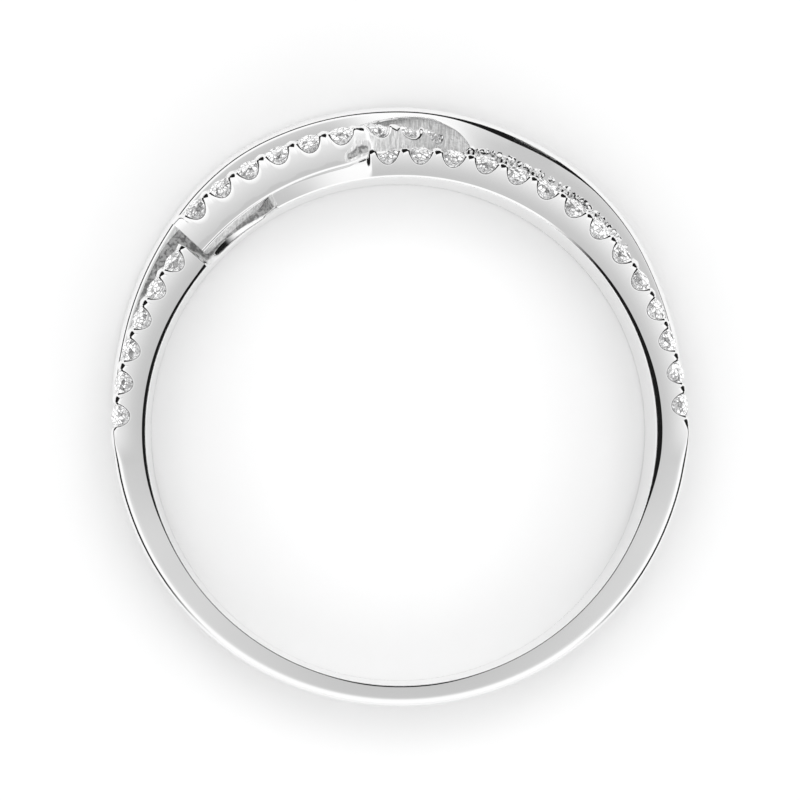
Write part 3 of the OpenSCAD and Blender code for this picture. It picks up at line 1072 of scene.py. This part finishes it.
@dataclass(frozen=True)
class PolishedStrand(SweptPiece):
    """The plain strand, with the recess where the crossing strand goes in under it."""

    name = "polished_strand"
    end: float = 92.0
    slices: int = 330
    # The crest: its radius and its limit as a share of the height, and the turns of its two slopes and marks
    crest_round: float = 0.45
    round_limit: float = 0.6
    soft_turns: tuple[float, float] = (8.0, 22.0)
    crest_turns: tuple[float, ...] = (41.0, 49.0, 58.0, 68.0, 79.0, 90.0)
    low: float = 0.04
    bulge: float = 0.03
    # The recess: least distances of its top from the wall's ends, depth at which its skin is full, its
    # marks as shares of the way up, its edge as drops below its top with shares of its depth, and the wall
    # above it as shares of the way up with shares of the depth and of the painted shade's skin
    recess_low: float = 0.3
    recess_high: float = 0.04
    recess_deep: float = 0.05
    recess: tuple[float, ...] = (0.0, 0.35, 0.7)
    recess_edge: tuple[tuple[float, float], ...] = ((0.12, 1.0), (0.03, 0.8), (0.0, 0.25))
    above: tuple[tuple[float, float, float], ...] = ((0.0, 0.05, 1.0), (0.25, 0.0, 0.7), (0.6, 0.0, 0.4))
    above_step: float = 0.01
    # The stretch of the front wall at the left that is rough cast metal with painted shade
    shaded: Stretch = Stretch(-76.0, -72.0, -46.0, -44.0)

    def placed(self, angle: float, mark: Mark) -> Vector:
        """Returns the point of a mark on the strand's own path."""
        return self.sizes.path_point(POLISHED, angle, mark)

    def _crest(self, angle: float, top: float) -> Section:
        """Makes the marks round one side of the crest, from the end of the upright wall up.

        Args:
            angle: the section's angle.
            top: radius of the strand's top.

        Returns:
            The marks.
        """
        radius = min(self.crest_round, self.round_limit * (top - self.sizes.bore_r - self.low))
        first, *turns = self.crest_turns
        slopes = [(CREST.at(angle, SOFT) / 2, turn) for turn in self.soft_turns]
        slopes.append((CREST.at(angle, STEEP), first))
        across = self.sizes.polished_w / 2 - self.bulge
        height = top - radius * (1 - sin_deg(first)) - sum(width for width, _ in slopes)
        found = [Mark(across, height)]
        for width, turn in slopes:
            across -= width * tan_deg(turn)
            height += width
            found.append(Mark(across, height))
        return found + rounded(Mark(across + radius * (1 - cos_deg(first)), top), -radius, -radius, turns)

    def section(self, angle: float) -> Section:
        """Makes the strand's section.

        Args:
            angle: the section's angle.

        Returns:
            The section's marks.
        """
        s = self.sizes
        half = s.polished_w / 2
        low = s.bore_r + self.low
        crest = self._crest(angle, s.bore_r + s.crown_t * POLISHED.at(angle, TOP))
        crest_start = crest[0].radius
        depth = ARCH.at(angle, ARCH_DEPTH)
        foot = limited(ARCH.at(angle, ARCH_TOP), low + self.recess_low, crest_start - self.recess_high)
        shaded = self.shaded.share(angle)
        # Skin below the recess: painted shade on the shaded stretch, brushed in the recess
        inner = max(CAST_WITH_PAINTED_SHADE * shaded, BRUSHED * smooth_step(depth, 0.0, self.recess_deep))

        def wall(radius: float, back: float, rough: float) -> Mark:
            """Returns a mark of the front wall, at a depth behind it."""
            return Mark(half - back - self.bulge * (radius - low) / (crest_start - low), radius, 0.0, rough)

        front = [wall(mixed(low, foot, share), depth, inner) for share in self.recess]
        front += [wall(foot - drop, share * depth, inner) for drop, share in self.recess_edge]
        # The wall above the recess takes the painted shade too, fading upwards
        for share, back, skin in self.above:
            front.append(wall(mixed(foot + self.above_step, crest_start, share), back * depth, skin * shaded))
        rear = [Mark(-half, mixed(crest_start, low, 0.5)), Mark(-half, low)]
        return front + crest + mirrored(crest) + rear

    def sections(self) -> Sections:
        """Returns the sections from the strand's left end to its right."""
        return [(angle, self.section(angle)) for angle in spread(-self.end, self.end, self.slices)]


@dataclass(frozen=True)
class SettingBeads:
    """The small grains of metal on the fingers, and along the top of the front strand's back wall."""

    sizes: RingSizes
    stones: Stones
    radius: float = 0.06
    inset: float = 0.2
    lift: float = 0.03
    # The grains along the back wall: where and how many, how deep they sit at the ends and in the middle,
    # how far from the wall's back, their radius with its least and greatest share, and their disorder
    row_ends: tuple[float, float] = (14.0, 50.0)
    row_count: int = 34
    row_stretch: Stretch = Stretch(13.0, 17.0, 40.0, 51.0)
    row_depths: tuple[float, float] = (0.1, 0.03)
    row_inset: float = 0.1
    row_radius: float = 0.11
    row_sizes: tuple[float, float] = (0.7, 1.2)
    row_spread: float = 0.03
    row_drift: float = 0.3
    seed: int = 7

    def _spots(self, row: Row) -> list[Matrix]:
        """Finds where the grains of a row sit, halfway between its stones and at its ends.

        Args:
            row: the row.

        Returns:
            Each grain's matrix.
        """
        angles = self.stones.angles(row)
        gaps = [(a + b) / 2 for a, b in zip(angles, angles[1:])]
        half_gap = (angles[1] - angles[0]) / 2
        found = []
        for angle in [angles[0] - half_gap, *gaps, angles[-1] + half_gap]:
            rise = BACK_RISE.at(angle) if row.in_front else 0.0
            grain = Matrix.Translation((0.0, self.sizes.strand_w / 2 - self.inset, self.lift + rise))
            found.append(self.stones.matrix(row, angle, self.sizes.lean) @ grain)
        return found

    def _row(self) -> list[Matrix]:
        """Strews the grains along the top of the front strand's back wall.

        Returns:
            Each grain's matrix, with its place, turn and half sizes.
        """
        s = self.sizes
        chance = random.Random(self.seed)
        found = []
        for angle in spread(*self.row_ends, self.row_count):
            rise = s.bead_t + BACK_RISE.at(angle) + s.strand_w / 2 * sin_deg(s.lean)
            radius = s.front_girdle(angle) + rise - mixed(*self.row_depths, self.row_stretch.share(angle))
            radius += chance.uniform(-1, 1) * self.row_spread
            across = s.front_place(angle) - s.strand_w / 2 + self.row_inset
            across += chance.uniform(-1, 1) * self.row_spread
            size = Vector([self.row_radius * chance.uniform(*self.row_sizes) for _ in range(3)])
            turn = Euler([chance.uniform(0, math.pi) for _ in range(3)])
            drift = chance.uniform(-self.row_drift, self.row_drift)
            found.append(Matrix.LocRotScale(ring_point(angle + drift, across, radius), turn, size))
        return found

    def build(self) -> bpy.types.Object:
        """Makes all the grains as one piece.

        Returns:
            The piece.
        """
        mesh = bmesh.new()
        for spot in self._row():
            bmesh.ops.create_icosphere(mesh, subdivisions=1, radius=1.0, matrix=spot)
        for row in Row:
            for spot in self._spots(row):
                bmesh.ops.create_icosphere(mesh, subdivisions=2, radius=self.radius, matrix=spot)
        mesh.verts.layers.float.new(ROUGH_AND_SHADE_LAYER)
        return Builder.finished("setting_beads", mesh, True, METAL_NODE)


@dataclass(frozen=True)
class Brilliant:
    """A round brilliant, as shares of its radius where nothing else is said."""

    radius: float = 0.46
    table: float = 0.56
    crown: float = 0.30
    star: float = 0.76
    star_drop: float = 0.088
    girdle: float = 0.02
    lower_tip: float = 0.24
    slope: float = 41.0
    mains: int = 8
    flat_enough: float = 0.6

    def _ring(self, radius: float, height: float, count: int, turned: bool) -> list[Vector]:
        """Returns points round the stone at a radius and height, turned by half of a main's span or not."""
        turns = [(math.pi / self.mains if turned else 0.0) + 2 * math.pi * k / count for k in range(count)]
        return [Vector((radius * math.cos(a), radius * math.sin(a), height)) * self.radius for a in turns]

    def mesh(self, seat: Matrix) -> bmesh.types.BMesh:
        """Makes the stone's facets in its seat.

        Args:
            seat: the seat's matrix, from a stone with its girdle in the plane z = 0 and its table up.

        Returns:
            The mesh.
        """
        n = self.mains
        fall = tan_deg(self.slope)
        culet = -self.girdle - fall
        tip = culet + self.lower_tip * math.cos(math.pi / n) * fall
        points = (
            self._ring(self.table, self.crown, n, False)
            + self._ring(self.star, self.crown - self.star_drop, n, True)
            + self._ring(1.0, self.girdle, 2 * n, False)
            + self._ring(1.0, -self.girdle, 2 * n, False)
            + self._ring(self.lower_tip, tip, n, True)
            + [Vector((0.0, 0.0, culet * self.radius))]
        )
        mesh = bmesh.new()
        for point in points:
            mesh.verts.new(point)
        bmesh.ops.convex_hull(mesh, input=mesh.verts[:])
        loose = [v for v in mesh.verts if not v.link_faces]
        bmesh.ops.delete(mesh, geom=loose, context="VERTS")
        flat = math.radians(self.flat_enough)
        bmesh.ops.dissolve_limit(mesh, angle_limit=flat, verts=mesh.verts[:], edges=mesh.edges[:])
        bmesh.ops.transform(mesh, matrix=seat, verts=mesh.verts[:])
        return mesh


class MixKind(Enum):
    """What a mix node mixes: data type, number of its first value's socket, and of its output."""

    NUMBER = ("FLOAT", 2, 0)
    COLOUR = ("RGBA", 6, 2)


class NodeTree:
    """Short ways to lay out the nodes of a material or world."""

    def __init__(self, owner: bpy.types.Material | bpy.types.World) -> None:
        """Starts an empty tree.

        Args:
            owner: the material or world that it belongs to.
        """
        owner.use_nodes = True
        self.tree = owner.node_tree
        self.tree.nodes.clear()

    def add(
        self, kind: str, inputs: Mapping[int | str, object] | None = None, **settings: object
    ) -> bpy.types.Node:
        """Adds a node.

        Args:
            kind: the node's type.
            inputs: an output to link or a constant for each socket, by its name or number.
            settings: the node's own properties.

        Returns:
            The node.
        """
        node = self.tree.nodes.new(kind)
        for name, value in settings.items():
            setattr(node, name, value)
        for key, value in (inputs or {}).items():
            if isinstance(value, bpy.types.NodeSocket):
                self.tree.links.new(value, node.inputs[key])
            else:
                node.inputs[key].default_value = value
        return node

    def math(self, operation: str, *values: object) -> bpy.types.NodeSocket:
        """Returns the result of a sum on one to three values."""
        return self.add("ShaderNodeMath", dict(enumerate(values)), operation=operation).outputs[0]

    def vector(self, operation: str, inputs: Mapping[int | str, object]) -> bpy.types.NodeSocket:
        """Returns the result of a sum on vectors."""
        return self.add("ShaderNodeVectorMath", inputs, operation=operation).outputs[0]

    def mix(self, kind: MixKind, share: object, low: object, high: object) -> bpy.types.NodeSocket:
        """Mixes two values or colours.

        Args:
            kind: what is mixed.
            share: share of the second.
            low: the first.
            high: the second.

        Returns:
            The mixture.
        """
        data_type, first, output = kind.value
        inputs = {0: share, first: low, first + 1: high}
        return self.add("ShaderNodeMix", inputs, data_type=data_type).outputs[output]

    def between(
        self, value: object, ends: tuple[float, float], to_low: object, to_high: object
    ) -> bpy.types.NodeSocket:
        """Returns a smooth change from to_low to to_high while value goes from one end to the other."""
        inputs = dict(enumerate((value, *ends, to_low, to_high)))
        return self.add("ShaderNodeMapRange", inputs, interpolation_type="SMOOTHSTEP").outputs[0]

    def noise(
        self, place: bpy.types.NodeSocket, scale: float, detail: float, size: Sequence[float] = (1, 1, 1)
    ) -> bpy.types.NodeSocket:
        """Makes a noise.

        Args:
            place: where its value is wanted.
            scale: its scale per metre.
            detail: how fine it is.
            size: its stretch along the axes.

        Returns:
            Its value.
        """
        stretched = self.add("ShaderNodeMapping", {"Vector": place, "Scale": size}).outputs[0]
        inputs = {"Vector": stretched, "Scale": scale, "Detail": detail}
        return self.add("ShaderNodeTexNoise", inputs).outputs["Fac"]

    def bump(self, strength: object, distance: float, **inputs: bpy.types.NodeSocket) -> bpy.types.NodeSocket:
        """Returns the normal of a bump of a distance in metres, from its Height and perhaps a Normal."""
        return self.add("ShaderNodeBump", {"Strength": strength, "Distance": distance, **inputs}).outputs[0]

    def principled(self, inputs: Mapping[int | str, object]) -> bpy.types.NodeSocket:
        """Returns the usual shader with some of its sockets set."""
        return self.add("ShaderNodeBsdfPrincipled", inputs).outputs[0]

    def surface(self, kind: str, shader: bpy.types.NodeSocket) -> None:
        """Ends the tree with a shader as its surface."""
        self.add(kind, {"Surface": shader})


def grey(level: float) -> tuple[float, float, float, float]:
    """Returns a grey of a level."""
    return level, level, level, 1.0


@dataclass(frozen=True)
class WhiteGold:
    """Polished white gold, with the skins that the roughness layer asks for: brushed metal, and rough cast
    metal whose dark grey is painted shade.
    """

    name: str = "white_gold"
    level: float = 0.9
    rough_level: float = 0.95
    # Dark grey of the rough cast skin, a painted shade
    painted_shade_level: float = 0.22
    polish: float = 0.045
    scratch_rough: float = 0.05
    cast: float = 0.45
    cast_rough: float = 0.3
    cast_metal: float = -0.6
    # Values of the layer between which the brushed skin and the painted shade set in, and how ragged they are
    brushed_start: tuple[float, float] = (0.35, 0.6)
    painted_shade_start: tuple[float, float] = (1.2, 1.8)
    ragged: float = 0.5
    grain_scale: float = 9000.0
    coarse_share: float = 0.35
    scratch_scale: float = 5000.0
    scratch_size: tuple[float, float, float] = (1.0, 1.0, 6.0)
    wave_scale: float = 700.0
    stroke_scale: float = 4500.0
    stroke_size: tuple[float, float, float] = (5.0, 0.5, 1.0)
    stroke_ends: tuple[float, float] = (0.38, 0.62)
    stroke_contrast: float = 0.4
    # Grain that speckles the painted shade: its ends and its least share
    speckle_ends: tuple[float, float] = (0.4, 0.6)
    speckle: float = 0.6
    fine_strength: float = 0.12
    fine_depth: float = 0.000004
    grain_strength: float = 0.9
    grain_depth: float = 0.00006

    def make(self) -> bpy.types.Material:
        """Makes the material.

        Returns:
            The material.
        """
        material = bpy.data.materials.new(self.name)
        t = NodeTree(material)
        place = t.add("ShaderNodeTexCoord").outputs["Object"]
        layer = t.add("ShaderNodeAttribute", attribute_type="GEOMETRY", attribute_name=ROUGH_AND_SHADE_LAYER)
        grain = t.noise(place, self.grain_scale, 4.0)
        coarse = t.noise(place, self.grain_scale * self.coarse_share, 3.0)
        strokes = t.noise(place, self.stroke_scale, 3.0, self.stroke_size)
        scratches = t.noise(place, self.scratch_scale, 2.0, self.scratch_size)
        waves = t.noise(place, self.wave_scale, 1.0)
        ragged = t.math("MULTIPLY", t.math("SUBTRACT", coarse, 0.5), self.ragged)
        edge = t.math("ADD", layer.outputs["Fac"], ragged)
        cast = t.between(edge, self.brushed_start, 0.0, 1.0)
        # Share of painted shade, from the layer's cast values
        painted_shade = t.between(edge, self.painted_shade_start, 0.0, 1.0)
        roughness = t.mix(
            MixKind.NUMBER,
            cast,
            t.math("MULTIPLY_ADD", scratches, self.scratch_rough, self.polish),
            t.math("MULTIPLY_ADD", grain, self.cast_rough, self.cast),
        )
        brushed = t.between(strokes, self.stroke_ends, 0.0, self.stroke_contrast)
        speckled_painted_shade = t.math("MULTIPLY", painted_shade, t.between(grain, self.speckle_ends, self.speckle, 1.0))
        dark = t.math("MAXIMUM", brushed, speckled_painted_shade)
        # Colour of the rough skins, from light brushed metal to the painted shade
        skin = t.mix(MixKind.COLOUR, dark, grey(self.rough_level), grey(self.painted_shade_level))
        fine = t.bump(self.fine_strength, self.fine_depth, Height=t.math("ADD", scratches, waves))
        strength = t.math("MULTIPLY", cast, self.grain_strength)
        granular = t.bump(strength, self.grain_depth, Height=t.math("ADD", grain, coarse), Normal=fine)
        shader = t.principled(
            {
                "Metallic": t.math("MULTIPLY_ADD", cast, self.cast_metal, 1.0),
                "Base Color": t.mix(MixKind.COLOUR, cast, grey(self.level), skin),
                "Roughness": roughness,
                "Normal": granular,
            }
        )
        t.surface("ShaderNodeOutputMaterial", shader)
        return material


@dataclass(frozen=True)
class Diamond:
    """Clear diamond mixed with a mirror whose many facet images each face their own way, with painted dark
    seams between them and a painted glow for the light that the facets throw back.
    """

    name: str = "diamond"
    colour: tuple[float, float, float, float] = (0.995, 0.995, 1.0, 1.0)
    index: float = 2.417
    polish: float = 0.004
    image_scale: float = 7000.0
    scatter: float = 0.8
    # Share of the mirror with its painted glow and painted seams
    mirror_and_glow_share: float = 0.75
    mirror: float = 0.9
    sparkle: float = 0.03
    # The painted dark seams between the images, and their painted glow: the ends that each changes between,
    # and its least
    painted_seam_ends: tuple[float, float] = (0.02, 0.14)
    painted_seam_level: float = 0.25
    painted_glow: float = 0.5
    painted_glow_ends: tuple[float, float] = (0.1, 0.6)
    painted_glow_least: float = 0.3

    def make(self) -> bpy.types.Material:
        """Makes the material.

        Returns:
            The material.
        """
        material = bpy.data.materials.new(self.name)
        t = NodeTree(material)
        cells = {"Vector": t.add("ShaderNodeTexCoord").outputs["Object"], "Scale": self.image_scale}
        images = t.add("ShaderNodeTexVoronoi", cells, feature="F1").outputs["Color"]
        seams = t.add("ShaderNodeTexVoronoi", cells, feature="DISTANCE_TO_EDGE").outputs["Distance"]
        # Painted shade along the seams between the images
        painted_seam_shade = t.between(seams, self.painted_seam_ends, self.painted_seam_level, 1.0)
        off = t.vector("SUBTRACT", {0: images, 1: (0.5, 0.5, 0.5)})
        wide = t.vector("SCALE", {0: off, "Scale": self.scatter})
        normal = t.add("ShaderNodeNewGeometry").outputs["Normal"]
        facing = t.vector("NORMALIZE", {0: t.vector("ADD", {0: wide, 1: normal})})
        value = t.add("ShaderNodeSeparateColor", {0: images}).outputs[0]
        # Painted glow of each image, differing at random
        back = t.between(value, self.painted_glow_ends, self.painted_glow_least, 1.0)
        level = t.math("MULTIPLY", painted_seam_shade, self.mirror)
        clear = t.principled(
            {
                "Base Color": self.colour,
                "IOR": self.index,
                "Transmission Weight": 1.0,
                "Roughness": self.polish,
            }
        )
        # Mirror facets darkened at the painted seams, with a painted glow as emission
        bright = t.principled(
            {
                "Base Color": t.add("ShaderNodeCombineColor", {0: level, 1: level, 2: level}).outputs[0],
                "Metallic": 1.0,
                "Roughness": self.sparkle,
                "Emission Color": self.colour,
                "Emission Strength": t.math("MULTIPLY", t.math("MULTIPLY", back, painted_seam_shade), self.painted_glow),
                "Normal": facing,
            }
        )
        both = t.add("ShaderNodeMixShader", {0: self.mirror_and_glow_share, 1: clear, 2: bright})
        t.surface("ShaderNodeOutputMaterial", both.outputs[0])
        return material


@dataclass(frozen=True)
class Studio:
    """The pale floor, the light round the ring and the camera at the photo's angle."""

    floor_z: float = -2.2
    floor_size: float = 120.0
    floor_level: float = 0.93
    floor_rough: float = 0.9
    # The light from all round: its levels, and the angles off the zenith and off +Y between which they change
    zenith: float = 0.62
    bright: float = 1.12
    dark: float = 0.012
    zenith_ends: tuple[float, float] = (4.0, 40.0)
    strip_ends: tuple[float, float] = (58.0, 66.0)
    strip_sides: tuple[float, float] = (132.0, 150.0)
    lamp_place: tuple[float, float, float] = (0.0, 20.0, 120.0)
    lamp_size: float = 90.0
    lamp_power: float = 0.05
    distance: float = 115.0
    yaw: float = 1.6
    height: float = 1.085
    focal: float = 152.66
    sensor: float = 36.0
    nearest: float = 1.0

    def _floor(self) -> bpy.types.Object:
        """Makes the floor that the ring lies on.

        Returns:
            The floor.
        """
        mesh = bmesh.new()
        bmesh.ops.create_grid(mesh, x_segments=8, y_segments=8, size=self.floor_size * METRES)
        bmesh.ops.translate(mesh, vec=(0.0, 0.0, self.floor_z * METRES), verts=mesh.verts[:])
        floor = Builder.linked("floor", mesh)
        material = bpy.data.materials.new("pale_floor")
        t = NodeTree(material)
        look = {
            "Base Color": grey(self.floor_level),
            "Roughness": self.floor_rough,
            "Specular IOR Level": 0.0,
        }
        t.surface("ShaderNodeOutputMaterial", t.principled(look))
        floor.data.materials.append(material)
        return floor

    def _world(self) -> None:
        """Lights the ring from all round: soft overhead, bright lower down, with a dark strip."""
        world = bpy.data.worlds.new("studio")
        bpy.context.scene.world = world
        t = NodeTree(world)
        way = t.add("ShaderNodeSeparateXYZ", {0: t.add("ShaderNodeTexCoord").outputs["Generated"]})
        x, y, z = way.outputs
        off_zenith = t.math("MULTIPLY", t.math("ARCCOSINE", z), 180.0 / math.pi)
        azimuth = t.math("MULTIPLY", t.math("ABSOLUTE", t.math("ARCTAN2", x, y)), 180.0 / math.pi)
        soft = t.between(off_zenith, self.zenith_ends, self.zenith, self.bright)
        low = t.between(off_zenith, self.strip_ends, 0.0, 1.0)
        strip = t.math("MULTIPLY", low, t.between(azimuth, self.strip_sides, 1.0, 0.0))
        level = t.mix(MixKind.NUMBER, strip, soft, self.dark)
        light = t.add("ShaderNodeBackground", {"Color": grey(1.0), "Strength": level})
        t.surface("ShaderNodeOutputWorld", light.outputs[0])

    def _lamp(self) -> None:
        """Adds a soft square light overhead that faces the ring and shows in no mirror."""
        light = bpy.data.lights.new("overhead", "AREA")
        light.size = self.lamp_size * METRES
        light.energy = self.lamp_power
        lamp = bpy.data.objects.new("overhead", light)
        lamp.location = Vector(self.lamp_place) * METRES
        lamp.rotation_euler = (-lamp.location).to_track_quat("-Z", "Y").to_euler()
        lamp.visible_glossy = False
        lamp.visible_transmission = False
        bpy.context.scene.collection.objects.link(lamp)

    def _camera(self) -> None:
        """Puts the camera where the photo was taken from."""
        data = bpy.data.cameras.new("camera")
        data.lens = self.focal
        data.sensor_width = self.sensor
        data.clip_start = self.nearest * METRES
        camera = bpy.data.objects.new("camera", data)
        place = Vector((-self.distance * sin_deg(self.yaw), self.height, self.distance * cos_deg(self.yaw)))
        turn = Matrix.Rotation(math.radians(-self.yaw), 4, "Y")
        camera.matrix_world = Matrix.Translation(place * METRES) @ turn
        bpy.context.scene.collection.objects.link(camera)
        bpy.context.scene.camera = camera

    def build(self) -> None:
        """Sets up the floor, lights and camera."""
        self._floor()
        self._world()
        self._lamp()
        self._camera()
        bpy.context.scene.view_settings.view_transform = "Standard"


@dataclass(frozen=True)
class Ring:
    """The whole ring, with the lean that its stones show."""

    sizes: RingSizes = RingSizes()
    lean: float = 27.0

    @property
    def stones(self) -> Stones:
        """Where the stones sit."""
        return Stones(self.sizes)

    def metal(self) -> list[bpy.types.Object]:
        """Makes the metal.

        Returns:
            The metal pieces.
        """
        seat = Seat(self.sizes, self.stones)
        return [
            RingBody(self.sizes, seat).build(),
            CrossingStrand(self.sizes, seat).build(),
            PolishedStrand(self.sizes).build(),
            SettingBeads(self.sizes, self.stones).build(),
        ]

    def brilliants(self) -> list[bpy.types.Object]:
        """Makes the stones, each in the place of its CAD node.

        Returns:
            The brilliants.
        """
        cut = Brilliant(self.sizes.stone_d / 2)
        found = []
        for strand in Strand:
            rows = [row for row in Row if row.strand is strand]
            spots = [(row, angle) for row in rows for angle in self.stones.angles(row)]
            for i, (row, angle) in enumerate(spots, start=1):
                name, node = (f"{strand.value}_{kind}_{i:02d}" for kind in ("brilliant", "stone"))
                mesh = cut.mesh(self.stones.matrix(row, angle, self.lean))
                found.append(Builder.finished(name, mesh, False, node))
        return found

    def build(self) -> None:
        """Makes every piece and gives it its finish."""
        for pieces, finish in ((self.metal(), WhiteGold()), (self.brilliants(), Diamond())):
            material = finish.make()
            for piece in pieces:
                piece.data.materials.append(material)
                LOG.info("%s: %d faces, %s", piece.name, len(piece.data.polygons), finish.name)


def main() -> None:
    """Builds the ring on its CAD frame and sets up the studio."""
    logging.basicConfig(level=logging.INFO, format="%(name)s: %(message)s")
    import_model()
    Ring().build()
    Studio().build()
    bpy.context.view_layer.update()


if __name__ == "__main__":
    main()
